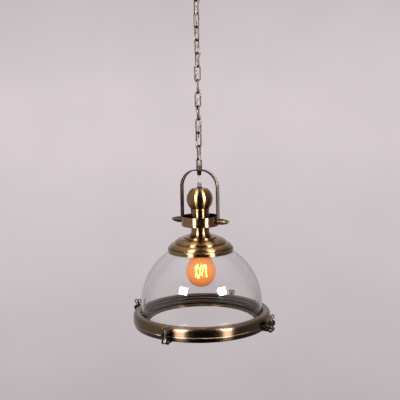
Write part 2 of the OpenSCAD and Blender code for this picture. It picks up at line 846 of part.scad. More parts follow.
// Bulb
module bulb_cap() {
  color("#c9a55a") {
    translate([0, 0, contact_z - 1.6]) cylinder(r1 = 5.2, r2 = 4.6, h = 1.6);
    translate([0, 0, contact_z - 5]) cylinder(r1 = cap_r - 1.4, r2 = 5.2, h = 3.4);
    difference() {
      translate([0, 0, contact_z - cap_h]) cylinder(r = cap_r - 1, h = cap_h - 5);
      translate([0, 0, contact_z - cap_h - 1]) cylinder(r = cap_r - 1.6, h = cap_h - 8);
    }
    for (t = [0 : 4]) translate([0, 0, contact_z - 8.2 - 3.4 * t]) rotate_extrude()
      translate([cap_r - 1.25, 0]) circle(r = 1.25);
  }
}

// outline of the bulb: a ball and the cone that touches it and runs up into the cap
module bulb_outline(t) {
  neck = cap_r + 0.9 - t;
  neck_up = bulb_reach - cap_h;
  r = bulb_r - t;
  far = sqrt(neck * neck + neck_up * neck_up);
  touch = atan2(neck_up, neck) - acos(r / far);
  circle(r = r);
  polygon([[0, 0], [r * cos(touch), r * sin(touch)], [neck, neck_up], [0, neck_up]]);
}

module bulb_glass() {
  color("#e08a45", 0.55)
    translate([0, 0, bulb_z]) rotate_extrude() intersection() {
      difference() {
        bulb_outline(0);
        bulb_outline(bulb_wall);
      }
      translate([0, -bulb_r - 1]) square([bulb_r + 1, bulb_r + 1 + bulb_reach - cap_h]);
    }
}

module bulb_stem() {
  high = bulb_reach - cap_h;
  stem_low = 18;
  stem_rod = 0.9;
  color("#d9c9b8", 0.6)
    translate([0, 0, bulb_z]) {
      translate([0, 0, stem_low]) cylinder(r1 = 1.8, r2 = 3.2, h = high - 4 - stem_low);
      translate([0, 0, high - 4]) cylinder(r1 = 3.2, r2 = cap_r + 0.9 - bulb_wall - 0.2, h = 4);
      translate([0, 0, -17]) cylinder(r = stem_rod, h = stem_low + 20);
      translate([0, 0, -17]) sphere(r = 1.8);
    }
}

// a round wire from one point to another
module wire_between(a, b, d) {
  v = b - a;
  translate(a) rotate([0, acos(v[2] / norm(v)), atan2(v[1], v[0])]) cylinder(d = d, h = norm(v), $fn = 24);
}

// one unbroken wire that zigzags up and down round the stem, bent twice at every hook
module filament() {
  hooks = 9;
  hook_r = 12;
  hook_turn = 38;                                  // degrees from one hook to the next
  hook_half = 5;                                   // and from a hook's middle to each bend
  hook_up = 12;
  filament_wire = 0.9;
  bead = 1.5;
  lead_in = 0.95;                                  // where the leads meet the stem
  function bend_turn(k) = hook_turn * floor(k / 2) + (k % 2 == 0 ? -hook_half : hook_half);
  bends = [for (k = [0 : 2 * hooks - 1])
    [hook_r * cos(bend_turn(k)), hook_r * sin(bend_turn(k)), floor(k / 2) % 2 == 0 ? hook_up : -hook_up]];
  last = len(bends) - 1;
  color("#ffd27a")
    translate([0, 0, bulb_z]) {
      for (place = bends) translate(place) sphere(d = bead, $fn = 24);
      for (k = [0 : last - 1]) wire_between(bends[k], bends[k + 1], filament_wire);
      for (k = [0, last]) rotate([0, 0, bend_turn(k)]) translate([lead_in, 0, hook_up])
        rotate([0, 90, 0]) cylinder(d = filament_wire, h = hook_r - lead_in, $fn = 24);
    }
}

// Mains cable: woven through every link, down the hanger loop and on into the head
weave_r = (wire + cable_d) / 2 * 1.5 + 0.75;       // how far the cable swings out beside each joint
function plane(j) = j < 1 ? ceiling_turn : j > link_count ? hanger_turn : link_turn[j - 1];
// the angle halfway across the wider sector between the planes of links j and j + 1
function halfway(a, b) = let (d = (b - a + 720) % 180) d < 90 ? a + d / 2 + 90 : a + d / 2;
function side_of(angle, k) = sin(angle - plane(k)) > 0 ? 1 : -1;
// at each joint the cable takes the sector on the far side of the link it has just passed through
function weave(j) =
  let (h = halfway(plane(j), plane(j + 1)))
    j < 1 ? h : side_of(h, j) == -side_of(weave(j - 1), j) ? h : h + 180;
function joint_z(j) = link_z(j) - link_long / 2 + wire / 2;
// the cable beside joint j, and in the middle of link k, where it crosses the plane of the link
function at_joint(j) = [weave_r * cos(weave(j)), weave_r * sin(weave(j)), joint_z(j)];
function in_link(k) =
  let (p = (at_joint(k - 1) + at_joint(k)) / 2, u = [cos(plane(k)), sin(plane(k)), 0],
       s = max(-1.4, min(1.4, p * u)))
    [u[0] * s, u[1] * s, link_z(k)];
// control points from the rose to the head
route = concat(
  [[block_x - 0.9, 0, bridge_z + strap_bar + 5], [3.4, 0, bridge_z + strap_bar + 5.4],
   [0, 0, bridge_z + 2.5], [0, 0, -rose_h], [0, 0, -rose_h - collar_h - 1]],
  [for (i = [0 : 2 * link_count]) i % 2 == 0 ? at_joint(i / 2) : in_link((i + 1) / 2)],
  [[0.2 * at_joint(link_count)[0], 0.5 * at_joint(link_count)[1], bail_top_z + collar_h + 3],
   [0, 0, bail_top_z + collar_h - 2.5], [0, 0, bail_top_z - 10], [0, 0, pivot_z + ball_top + 6],
   [0, 0, pivot_z + ball_top - 30], [0, 0, pivot_z + holder_top + 20], [0, 0, pivot_z + holder_top - 5]]);
// a smooth curve through the control points
function curve(a, b, c, d, t) =
  (2 * b + (c - a) * t + (2 * a - 5 * b + 4 * c - d) * t * t + (3 * b - a - 3 * c + d) * t * t * t) / 2;
function on_route(i, t) =
  let (last = len(route) - 1)
    curve(route[max(i - 1, 0)], route[i], route[min(i + 1, last)], route[min(i + 2, last)], t);
rings = concat(
  [for (i = [0 : len(route) - 2], t = [0, 0.5]) on_route(i, t)], [route[len(route) - 1]]);
cable_sides = 8;

function unit(v) = v / norm(v);
function along(i) =
  unit(i == 0 ? rings[1] - rings[0]
     : i == len(rings) - 1 ? rings[i] - rings[i - 1]
     : rings[i + 1] - rings[i - 1]);
// a direction across the cable, carried from ring to ring so that the tube doesn't twist
function across(i) =
  i == 0 ? unit(cross(along(0), [0, 1, 0.01]))
         : let (before = across(i - 1), a = along(i)) unit(before - (before * a) * a);

module mains_cable() {
  n = len(rings);
  ups = [for (i = [0 : n - 1]) across(i)];
  points = [for (i = [0 : n - 1], s = [0 : cable_sides - 1])
    let (a = 360 * s / cable_sides, u = ups[i], v = cross(along(i), u))
      rings[i] + cable_d / 2 * (u * cos(a) + v * sin(a))];
  walls = [for (i = [0 : n - 2], s = [0 : cable_sides - 1])
    let (a = i * cable_sides + s, b = i * cable_sides + (s + 1) % cable_sides)
      each [[a, a + cable_sides, b], [b, a + cable_sides, b + cable_sides]]];
  ends = [[for (s = [0 : cable_sides - 1]) s],
          [for (s = [cable_sides - 1 : -1 : 0]) (n - 1) * cable_sides + s]];
  color("#cfd3cf", 0.7) polyhedron(points, concat(walls, ends));
}

ceiling_strap();
rose_cup();
rose_tube();
rose_nut();
terminal_block();
ceiling_loop();
mains_cable();
link(1);  // link_01
link(2);  // link_02
link(3);  // link_03
link(4);  // link_04
link(5);  // link_05
link(6);  // link_06
link(7);  // link_07
link(8);  // link_08
link(9);  // link_09
link(10);  // link_10
link(11);  // link_11
link(12);  // link_12
link(13);  // link_13
hanger_loop();
bail();
bail_cord_grip();
pivot_barrels();
pivot_bolts();
pivot_washers();
pivot_wing_nut_left();
pivot_wing_nut_right();
head_cord_grip();
top_bush();
ball_cap();
neck_sleeve();
cup();
canopy();
threaded_tube();
tube_nut();
lampholder_shell();
lampholder_insulator();
lampholder_contacts();
shade_ring();
shade_washer();
canopy_gasket();
glass_dome();
upper_gasket();
foot_gasket();
upper_ring();
lower_ring();
hinge_pins();
swing_bolt(1);  // swing_bolt_1
swing_bolt(2);  // swing_bolt_2
swing_bolt(3);  // swing_bolt_3
swing_bolt(4);  // swing_bolt_4
ring_wing_nut(1);  // wing_nut_1
ring_wing_nut(2);  // wing_nut_2
ring_wing_nut(3);  // wing_nut_3
ring_wing_nut(4);  // wing_nut_4
bulb_cap();
bulb_glass();
bulb_stem();
filament();
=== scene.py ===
import json
import math

import bmesh
import bpy
from mathutils import Matrix, Vector


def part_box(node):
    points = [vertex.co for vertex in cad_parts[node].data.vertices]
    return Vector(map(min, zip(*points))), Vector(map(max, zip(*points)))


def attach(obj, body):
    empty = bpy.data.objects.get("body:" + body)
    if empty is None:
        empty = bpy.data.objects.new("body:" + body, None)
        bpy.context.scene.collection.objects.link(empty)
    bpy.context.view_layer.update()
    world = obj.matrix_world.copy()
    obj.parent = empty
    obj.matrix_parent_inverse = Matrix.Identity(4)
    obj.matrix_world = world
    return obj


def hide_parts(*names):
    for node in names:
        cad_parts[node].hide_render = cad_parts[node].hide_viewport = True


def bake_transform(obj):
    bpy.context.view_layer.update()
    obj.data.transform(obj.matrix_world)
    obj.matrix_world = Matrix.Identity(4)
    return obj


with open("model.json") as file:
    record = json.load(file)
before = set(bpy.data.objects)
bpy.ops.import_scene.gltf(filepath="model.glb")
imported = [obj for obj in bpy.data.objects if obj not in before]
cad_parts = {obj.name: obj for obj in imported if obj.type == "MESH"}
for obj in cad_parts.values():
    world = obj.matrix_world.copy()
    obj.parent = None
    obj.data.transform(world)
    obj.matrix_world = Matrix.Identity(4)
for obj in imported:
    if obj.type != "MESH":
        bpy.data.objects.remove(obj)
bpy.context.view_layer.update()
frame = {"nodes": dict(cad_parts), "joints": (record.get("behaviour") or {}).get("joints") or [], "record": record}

NODES = frame["nodes"]
JOINTS = {joint["child"]: joint for joint in frame["joints"]}


# Places read from the frame

def low(node):
    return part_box(node)[0]


def high(node):
    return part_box(node)[1]


def middle(node):
    return (Vector(low(node)) + Vector(high(node))) / 2


def joint_place(body):
    return Vector(JOINTS[body]["pos_m"])


PIVOT = joint_place("head")        # middle of the head's tilt axis


# Camera: level, with the photograph's framing taken up by a shift and a slight roll

PHOTO_SIZE = 400
MM_PER_PIXEL = 2.12        # at the distance of the lamp's axis
AXIS_COLUMN = 200.1        # column of that axis at the tilt pivots
AXIS_LEAN = 1.05           # how far it leans in the picture, in degrees
PIVOT_ROW = 220.5
HORIZON_ROW = 92
EYE_DISTANCE = 1.70
VIEW_AZIMUTH = 27
SENSOR_MM = 36


def add_camera():
    data = bpy.data.cameras.new("camera")
    data.sensor_width = SENSOR_MM
    data.sensor_fit = "HORIZONTAL"
    focal_in_pixels = EYE_DISTANCE * 1000 / MM_PER_PIXEL
    data.lens = SENSOR_MM * focal_in_pixels / PHOTO_SIZE
    data.clip_end = 30
    camera = bpy.data.objects.new("camera", data)
    bpy.context.scene.collection.objects.link(camera)
    azimuth = math.radians(VIEW_AZIMUTH)
    eye_height = (PIVOT_ROW - HORIZON_ROW) * MM_PER_PIXEL / 1000
    camera.location = PIVOT + Vector((
        EYE_DISTANCE * math.sin(azimuth), -EYE_DISTANCE * math.cos(azimuth), eye_height))
    level = Matrix.Rotation(azimuth, 3, "Z") @ Matrix.Rotation(math.radians(90), 3, "X")
    lean = math.radians(AXIS_LEAN)
    camera.rotation_euler = (level @ Matrix.Rotation(-lean, 3, "Z")).to_euler()
    across = AXIS_COLUMN - PHOTO_SIZE / 2
    down = PIVOT_ROW - PHOTO_SIZE / 2
    seen_down = PIVOT_ROW - HORIZON_ROW
    data.shift_x = -(across - seen_down * math.sin(lean)) / PHOTO_SIZE
    data.shift_y = -(seen_down * math.cos(lean) - down) / PHOTO_SIZE
    bpy.context.scene.camera = camera


add_camera()


# Cable: its course through the rose, the chain and the head

CHAIN = [f"link_{k:02d}" for k in range(1, 14)]
HANGING = CHAIN + ["bail"]         # what hangs at each joint of the chain
WIRE = 0.003
WEAVE = 0.006                      # from the lamp's axis to the cable beside a joint
SIDE_ROOM = 0.0014                 # how far off the axis it may pass through a link
# Place along X and height of each point from the terminals to the loop under the rose
ROSE_COURSE = ((0.0086, -0.0070), (0.0034, -0.0066), (0, -0.0115), (0, -0.0320), (0, -0.0415))
LOOP_SHARES = (0.2, 0.5)           # how much of the last weave is left in the bail's loop
BAIL_HEIGHTS = (0.0115, 0.006, -0.010)               # over the bail: loop, hole and grip
HEAD_HEIGHTS = (0.0743, 0.0383, -0.0104, -0.0354)    # over the tilt axis: grip to lampholder


def sector_middle(first, second):
    """The angle halfway across the wider sector between two planes."""
    apart = (second - first) % 180
    return first + apart / 2 + (90 if apart < 90 else 0)


def side_of(angle, plane):
    return math.sin(math.radians(angle - plane)) > 0


def weave_angles():
    """The side on which the cable passes each joint: it changes sides in every link."""
    planes = []
    for body in HANGING:
        axis = JOINTS[body]["axis"]
        planes.append(math.degrees(math.atan2(axis[1], axis[0])))
    planes.append(0)
    angles = [sector_middle(planes[0], planes[1])]
    for plane, below in zip(planes[1:], planes[2:]):
        angle = sector_middle(plane, below)
        if side_of(angle, plane) == side_of(angles[-1], plane):
            angle += 180
        angles.append(angle)
    return angles, planes


def cable_route():
    """Control points from the terminals to the lampholder, and which of them are mid-link."""
    angles, planes = weave_angles()
    beside = []
    for body, angle in zip(HANGING, angles):
        turn = math.radians(angle)
        height = joint_place(body).z + WIRE / 2
        beside.append(Vector((WEAVE * math.cos(turn), WEAVE * math.sin(turn), height)))
    points = [Vector((across, 0, height)) for across, height in ROSE_COURSE] + [beside[0]]
    in_links = []
    for k, link in enumerate(CHAIN):
        turn = math.radians(planes[k + 1])
        along = Vector((math.cos(turn), math.sin(turn), 0))
        half = (beside[k] + beside[k + 1]) / 2
        off = max(-SIDE_ROOM, min(SIDE_ROOM, half.dot(along)))
        in_links.append(len(points))
        points.append(along * off + Vector((0, 0, middle(link).z)))
        points.append(beside[k + 1])
    last = beside[-1]
    in_loop, in_hole, in_grip = (high("bail")[2] + up for up in BAIL_HEIGHTS)
    points += [Vector((LOOP_SHARES[0] * last.x, LOOP_SHARES[1] * last.y, in_loop)),
               Vector((0, 0, in_hole)), Vector((0, 0, in_grip))]
    points += [PIVOT + Vector((0, 0, up)) for up in HEAD_HEIGHTS]
    return points, in_links


def through(points, steps):
    """A smooth curve through the points, with that many steps from each to the next."""
    ends = [points[0]] + points + [points[-1]]
    curve = []
    for a, b, c, d in zip(ends, ends[1:], ends[2:], ends[3:]):
        for i in range(steps):
            t = i / steps
            curve.append((2 * b + (c - a) * t + (2 * a - 5 * b + 4 * c - d) * t * t
                          + (3 * b - a - 3 * c + d) * t * t * t) / 2)
    return curve + [points[-1]]


# Node tools

def add_node(tree, kind, values=None, **settings):
    """A new node; values are its inputs, each a constant or the socket that feeds it."""
    node = tree.nodes.new(kind)
    for name, value in settings.items():
        setattr(node, name, value)
    for socket, value in (values or {}).items():
        if isinstance(value, bpy.types.NodeSocket):
            tree.links.new(value, node.inputs[socket])
        else:
            node.inputs[socket].default_value = value
    return node


def new_group(name, inputs, outputs, kind="ShaderNodeTree"):
    tree = bpy.data.node_groups.new(name, kind)
    for label, socket_kind, value in inputs:
        socket = tree.interface.new_socket(label, in_out="INPUT", socket_type=socket_kind)
        if value is not None:
            socket.default_value = value
    for label, socket_kind in outputs:
        tree.interface.new_socket(label, in_out="OUTPUT", socket_type=socket_kind)
    given = tree.nodes.new("NodeGroupInput").outputs
    return tree, given, tree.nodes.new("NodeGroupOutput").inputs


def place_group(tree, group, values):
    return add_node(tree, "ShaderNodeGroup", values, node_tree=group).outputs


def math_node(tree, operation, *values):
    numbered = dict(enumerate(values))
    return add_node(tree, "ShaderNodeMath", numbered, operation=operation).outputs[0]


def vector_node(tree, operation, *values):
    numbered = dict(enumerate(values))
    return add_node(tree, "ShaderNodeVectorMath", numbered, operation=operation).outputs


def scaled(tree, value, factor):
    return math_node(tree, "MULTIPLY", value, factor)


def scaled_vector(tree, vector, factor):
    return add_node(tree, "ShaderNodeVectorMath", {
        0: vector, "Scale": factor}, operation="SCALE").outputs[0]


def combined(tree, x, y, z):
    return add_node(tree, "ShaderNodeCombineXYZ", {"X": x, "Y": y, "Z": z}).outputs[0]


def ranged(tree, value, low_in, high_in, low_out, high_out):
    return add_node(tree, "ShaderNodeMapRange", {
        "Value": value, "From Min": low_in, "From Max": high_in,
        "To Min": low_out, "To Max": high_out}).outputs[0]


def mixed(tree, share, first, second):
    return add_node(tree, "ShaderNodeMix", {0: share, 6: first, 7: second},
                    data_type="RGBA").outputs[2]


def noise(tree, place, scale, detail, roughness):
    return add_node(tree, "ShaderNodeTexNoise", {
        "Vector": place, "Scale": scale, "Detail": detail, "Roughness": roughness}).outputs["Fac"]


def object_place(tree):
    return add_node(tree, "ShaderNodeTexCoord").outputs["Object"]


def part_of(tree, place, letter):
    return add_node(tree, "ShaderNodeSeparateXYZ", {"Vector": place}).outputs[letter]


def axis_distance(tree, place):
    """Distance from the lamp's axis, which is the Z axis of every piece."""
    flat = vector_node(tree, "MULTIPLY", place, (1, 1, 0))[0]
    return vector_node(tree, "LENGTH", flat)["Value"]


def linear(red, green, blue):
    """A colour read from the photograph, 0 to 255, as the renderer wants it."""
    def straight(value):
        value /= 255
        return value / 12.92 if value <= 0.04045 else ((value + 0.055) / 1.055) ** 2.4
    return (straight(red), straight(green), straight(blue), 1)


FLOAT, COLOR = "NodeSocketFloat", "NodeSocketColor"
GEOMETRY, MATERIAL = "NodeSocketGeometry", "NodeSocketMaterial"


# Shader groups

def patina_and_shade_group():
    """Aged metal: cloudy patches, and corners darkened by ambient occlusion, partly tarnish in the hollows and
    partly painted shade, for the colour and the gloss.
    """
    tree, given, out = new_group(
        "patina_and_corner_shade",
        [("Bright", COLOR, None), ("Dark", COLOR, None), ("Patch Size", FLOAT, 0.02),
         ("Patches", FLOAT, 0.5), ("Openness", FLOAT, 1.0), ("Corner Shade", FLOAT, 0.6)],
        [("Color", COLOR), ("Patches and Shade", FLOAT)])
    scale = math_node(tree, "DIVIDE", 1, given["Patch Size"])
    clouds = noise(tree, object_place(tree), scale, 6, 0.62)
    cloudy = scaled(tree, ranged(tree, clouds, 0.40, 0.66, 0, 1), given["Patches"])
    # painted shade: the less open a point is, the darker it gets
    shaded_corners = scaled(tree, ranged(tree, given["Openness"], 0.25, 0.85, 1, 0), given["Corner Shade"])
    patches_and_shade = math_node(tree, "MAXIMUM", cloudy, shaded_corners)
    tree.links.new(mixed(tree, patches_and_shade, given["Bright"], given["Dark"]), out["Color"])
    tree.links.new(patches_and_shade, out["Patches and Shade"])
    return tree


def near_black_zone_group():
    """The colour between two distances from the lamp's axis, and painted near-black elsewhere."""
    tree, given, out = new_group(
        "near_black_zone",
        [("Color", COLOR, None), ("Inner Radius", FLOAT, 0.0), ("Outer Radius", FLOAT, 1.0),
         ("Near Black", COLOR, (0.018, 0.013, 0.010, 1))],
        [("Color", COLOR)])
    radius = axis_distance(tree, object_place(tree))
    inside = math_node(tree, "LESS_THAN", radius, given["Inner Radius"])
    outside = math_node(tree, "GREATER_THAN", radius, given["Outer Radius"])
    covered = math_node(tree, "MAXIMUM", inside, outside)
    tree.links.new(mixed(tree, covered, given["Color"], given["Near Black"]), out["Color"])
    return tree


def shaded_edge_group():
    """A strip's colour on its faces, and painted shade, nearly black, on its edges, which stand off the XZ plane.
    """
    tree, given, out = new_group(
        "strip_shaded_edges",
        [("Color", COLOR, None), ("Half Width", FLOAT, 0.005),
         ("Edge Shade", COLOR, (0.045, 0.032, 0.027, 1))],
        [("Color", COLOR)])
    off = math_node(tree, "ABSOLUTE", part_of(tree, object_place(tree), "Y"))
    beyond = math_node(tree, "GREATER_THAN", off, given["Half Width"])
    tree.links.new(mixed(tree, beyond, given["Color"], given["Edge Shade"]), out["Color"])
    return tree


def turning_group():
    """Fine rings round the lamp's axis, as a lathe or a spinning tool leaves them."""
    tree, given, out = new_group(
        "turning_marks", [("Spacing", FLOAT, 0.0004)], [("Marks", FLOAT)])
    place = object_place(tree)
    profile = combined(tree, axis_distance(tree, place), part_of(tree, place, "Z"), 0.0)
    marks = noise(tree, profile, math_node(tree, "DIVIDE", 1, given["Spacing"]), 3, 0.75)
    tree.links.new(ranged(tree, marks, 0.3, 0.7, 0, 1), out["Marks"])
    return tree


def drawn_group():
    """Fine scratches along Z, as on drawn or linished strip."""
    tree, given, out = new_group(
        "drawn_marks", [("Spacing", FLOAT, 0.0005), ("Length", FLOAT, 0.03)], [("Marks", FLOAT)])
    across = math_node(tree, "DIVIDE", 1, given["Spacing"])
    along = math_node(tree, "DIVIDE", 1, given["Length"])
    scale = combined(tree, across, across, along)
    stretched = vector_node(tree, "MULTIPLY", object_place(tree), scale)[0]
    marks = noise(tree, stretched, 1.0, 3, 0.7)
    tree.links.new(ranged(tree, marks, 0.3, 0.7, 0, 1), out["Marks"])
    return tree


def ridge_group():
    """Rounded ridges turned on the walls and floor within a radius, as height."""
    tree, given, out = new_group(
        "turned_ridges", [("Spacing", FLOAT, 0.005), ("Radius", FLOAT, 0.1)], [("Height", FLOAT)])
    place = object_place(tree)
    radius = axis_distance(tree, place)
    along = math_node(tree, "ADD", part_of(tree, place, "Z"), scaled(tree, radius, 0.4))
    turns = scaled(tree, math_node(tree, "DIVIDE", along, given["Spacing"]), 2 * math.pi)
    within = math_node(tree, "LESS_THAN", radius, given["Radius"])
    tree.links.new(scaled(tree, math_node(tree, "SINE", turns), within), out["Height"])
    return tree


def line_group():
    """A line at one height of a piece: 1 near its middle, 0 beyond its sides."""
    tree, given, out = new_group(
        "turned_line", [("Height", FLOAT, 0.0), ("Half Width", FLOAT, 0.001)], [("Share", FLOAT)])
    height = part_of(tree, object_place(tree), "Z")
    off = math_node(tree, "ABSOLUTE", math_node(tree, "SUBTRACT", height, given["Height"]))
    reach = math_node(tree, "DIVIDE", off, given["Half Width"])
    tree.links.new(ranged(tree, reach, 0.35, 1, 1, 0), out["Share"])
    return tree


def thread_group():
    """Screw thread round an upright shank, as height."""
    tree, given, out = new_group(
        "screw_thread", [("Pitch", FLOAT, 0.0008)], [("Height", FLOAT)])
    turns = math_node(tree, "DIVIDE", part_of(tree, object_place(tree), "Z"), given["Pitch"])
    tree.links.new(math_node(tree, "PINGPONG", turns, 0.5), out["Height"])
    return tree


def cast_group():
    """The pebbled skin of a small casting, as height."""
    tree, given, out = new_group("cast_skin", [("Grain", FLOAT, 0.0012)], [("Height", FLOAT)])
    scale = math_node(tree, "DIVIDE", 1, given["Grain"])
    tree.links.new(noise(tree, object_place(tree), scale, 4, 0.6), out["Height"])
    return tree


PATINA_AND_SHADE = patina_and_shade_group()
NEAR_BLACK_ZONE = near_black_zone_group()
SHADED_EDGES = shaded_edge_group()
TURNING = turning_group()
DRAWN = drawn_group()
RIDGES = ridge_group()
LINE = line_group()
THREAD = thread_group()
CAST = cast_group()


# Materials

def new_material(name):
    material = bpy.data.materials.new(name)
    material.use_nodes = True
    tree = material.node_tree
    return material, tree, tree.nodes["Principled BSDF"]


def set_constants(shader, **values):
    for label, value in values.items():
        shader.inputs[label.replace("_", " ")].default_value = value


def base_color(shader):
    """What feeds the shader's base colour so far."""
    return shader.inputs["Base Color"].links[0].from_socket


def recolor(tree, shader, share, color):
    """Take the base colour that share of the way to another one."""
    tree.links.new(mixed(tree, share, base_color(shader), color), shader.inputs["Base Color"])


def bump(tree, shader, height, distance):
    node = add_node(tree, "ShaderNodeBump", {
        "Height": height, "Strength": 1.0, "Distance": distance})
    tree.links.new(node.outputs[0], shader.inputs["Normal"])


def turn_tangents(tree, shader):
    """Measure the stretch of the highlights from the direction round the lamp's axis."""
    tangent = add_node(tree, "ShaderNodeTangent", direction_type="RADIAL", axis="Z").outputs[0]
    tree.links.new(tangent, shader.inputs["Tangent"])


def aged_metal(name, bright, dark, roughness, dull_roughness,
               patch=0.02, patches=0.5, corners=0.7, reach=0.006):
    """A metal with tarnish patches and painted shade in its corners; returns what a finish needs to add its own
    marks.
    """
    material, tree, shader = new_material(name)
    # how open each point is; its closed corners get painted shade
    openness = add_node(tree, "ShaderNodeAmbientOcclusion", {"Distance": reach},
                        samples=6).outputs["AO"]
    aged = place_group(tree, PATINA_AND_SHADE, {
        "Bright": bright, "Dark": dark, "Patch Size": patch, "Patches": patches,
        "Openness": openness, "Corner Shade": corners})
    tree.links.new(aged["Color"], shader.inputs["Base Color"])
    tree.links.new(ranged(tree, aged["Patches and Shade"], 0, 1, roughness, dull_roughness),
                   shader.inputs["Roughness"])
    shader.inputs["Metallic"].default_value = 1
    return material, tree, shader


TURNED_SPACING = 0.0005
TURNED_DEPTH = 0.000004
RIDGE_SPACING = 0.0062
RIDGE_HEIGHT = 0.0004
# pale colour painted on the ridge crests as highlight lines
CREST_HIGHLIGHT = (0.80, 0.62, 0.54, 1)
GROOVE_HALF_WIDTH = 0.0012
GROOVE_DEPTH = 0.0005
# dark colour painted in the groove as shade
GROOVE_SHADE = (0.02, 0.012, 0.006, 1)
RIM_HALF_WIDTH = 0.0009
RIM_HEIGHT = 0.00045
# pale colour painted on the rim line as a highlight
RIM_HIGHLIGHT = (0.55, 0.44, 0.34, 1)


def spun_metal(name, bright, dark, patch=0.02, near_black_radii=None, ridged=None, groove=None, rim=None):
    """Metal turned about the lamp's axis: the marks draw its reflections out along the profile.

    It may be painted near-black nearer to the axis than the first near-black radius and further than the second,
    ridged within a radius with painted highlight crests, and have a groove painted as shade and a rim painted as a
    highlight at given heights.
    """
    material, tree, shader = aged_metal(name, bright, dark, 0.25, 0.34, patch=patch, patches=0.2)
    if near_black_radii:
        zone = place_group(tree, NEAR_BLACK_ZONE, {
            "Color": base_color(shader), "Inner Radius": near_black_radii[0], "Outer Radius": near_black_radii[1]})
        tree.links.new(zone["Color"], shader.inputs["Base Color"])
    marks = place_group(tree, TURNING, {"Spacing": TURNED_SPACING})["Marks"]
    relief = scaled(tree, marks, TURNED_DEPTH)
    if ridged:
        ridges = place_group(tree, RIDGES, {"Spacing": RIDGE_SPACING, "Radius": ridged})["Height"]
        relief = math_node(tree, "ADD", relief, scaled(tree, ridges, RIDGE_HEIGHT))
        # painted highlights: the crests turn pale and nearly non-metallic
        crest_highlights = ranged(tree, ridges, 0.80, 0.99, 0, 1)
        recolor(tree, shader, crest_highlights, CREST_HIGHLIGHT)
        tree.links.new(ranged(tree, crest_highlights, 0, 1, 1, 0.1), shader.inputs["Metallic"])
    if groove:
        depth = place_group(tree, LINE, {"Height": groove, "Half Width": GROOVE_HALF_WIDTH})
        relief = math_node(tree, "SUBTRACT", relief, scaled(tree, depth["Share"], GROOVE_DEPTH))
        # the groove is painted dark as shade as well as sunk
        recolor(tree, shader, scaled(tree, depth["Share"], 0.85), GROOVE_SHADE)
    if rim:
        raised = place_group(tree, LINE, {"Height": rim, "Half Width": RIM_HALF_WIDTH})
        # the rim is raised a little and painted as a highlight
        recolor(tree, shader, raised["Share"], RIM_HIGHLIGHT)
        relief = math_node(tree, "ADD", relief, scaled(tree, raised["Share"], RIM_HEIGHT))
    bump(tree, shader, relief, 1.0)
    turn_tangents(tree, shader)
    set_constants(shader, Anisotropic=1.0, Anisotropic_Rotation=0.25,
                  Coat_Weight=0.3, Coat_Roughness=0.12)
    return material


def cast_metal(name, bright, dark, roughness=0.3, grain=0.0012, **ageing):
    material, tree, shader = aged_metal(name, bright, dark, roughness, roughness + 0.15, **ageing)
    bump(tree, shader, place_group(tree, CAST, {"Grain": grain})["Height"], 0.00003)
    return material


def strip_metal(name, bright, dark, roughness, depth, **ageing):
    material, tree, shader = aged_metal(name, bright, dark, roughness, roughness + 0.14, **ageing)
    marks = place_group(tree, DRAWN, {"Spacing": 0.0006, "Length": 0.04})["Marks"]
    bump(tree, shader, marks, depth)
    return material, tree, shader


def threaded_metal(name, bright, dark, pitch, depth):
    material, tree, shader = aged_metal(name, bright, dark, 0.3, 0.45)
    bump(tree, shader, place_group(tree, THREAD, {"Pitch": pitch})["Height"], depth)
    return material


def strap_metal():
    """The bail's strip: brushed faces, and edges painted nearly black as shade."""
    material, tree, shader = strip_metal(
        "bail_strap", (0.30, 0.235, 0.20, 1), (0.16, 0.12, 0.10, 1), 0.52, 0.000002, patches=0.12)
    # the edges are painted nearly black as shade
    shaded_edge = place_group(tree, SHADED_EDGES, {
        "Color": base_color(shader), "Half Width": high("bail")[1] - 0.0004})
    tree.links.new(shaded_edge["Color"], shader.inputs["Base Color"])
    turn_tangents(tree, shader)
    shader.inputs["Anisotropic"].default_value = 1.0
    return material


def clear_glass(name, tint):
    material, tree, shader = new_material(name)
    set_constants(shader, Base_Color=tint, Roughness=0.0, Transmission_Weight=1.0, IOR=1.5)
    return material, tree, shader


FOOT_EDGES = (0.0006, 0.0046)      # heights of the two over the foot's underside


def dome_glass():
    """Clear glass, faintly tinted in its thickness, with the two edges of its foot ground."""
    material, tree, shader = clear_glass("clear_dome_glass", (1, 1, 1, 1))
    inside = add_node(tree, "ShaderNodeVolumeAbsorption", {
        "Color": (0.55, 0.50, 0.50, 1), "Density": 8})
    tree.links.new(inside.outputs[0], tree.nodes["Material Output"].inputs["Volume"])
    foot = low("glass_dome")[2]
    edges = [place_group(tree, LINE, {"Height": foot + up, "Half Width": 0.0011})["Share"]
             for up in FOOT_EDGES]
    ground = math_node(tree, "MAXIMUM", *edges)
    tree.links.new(scaled(tree, ground, 0.9), shader.inputs["Roughness"])
    return material


def amber_glass():
    """Bulb glass, deeper in tint towards its rim, with a glow at the height of the hot wire."""
    material, tree, shader = new_material("amber_bulb_glass")
    set_constants(shader, Roughness=0.0, Transmission_Weight=1.0, IOR=1.45, Emission_Strength=1)
    facing = add_node(tree, "ShaderNodeLayerWeight", {"Blend": 0.5}).outputs["Facing"]
    tint = mixed(tree, ranged(tree, facing, 0.02, 0.7, 0, 1),
                 (0.97, 0.58, 0.26, 1), (0.70, 0.29, 0.14, 1))
    tree.links.new(tint, shader.inputs["Base Color"])
    near = place_group(tree, LINE, {"Height": middle("filament").z, "Half Width": 0.042})["Share"]
    glow = mixed(tree, near, (0.004, 0.001, 0.0, 1), (0.145, 0.075, 0.025, 1))
    tree.links.new(glow, shader.inputs["Emission Color"])
    return material


def hot_wire():
    material, tree, shader = new_material("glowing_filament")
    set_constants(shader, Base_Color=(1, 0.8, 0.5, 1), Roughness=0.5,
                  Emission_Color=(1, 0.70, 0.30, 1), Emission_Strength=14)
    return material


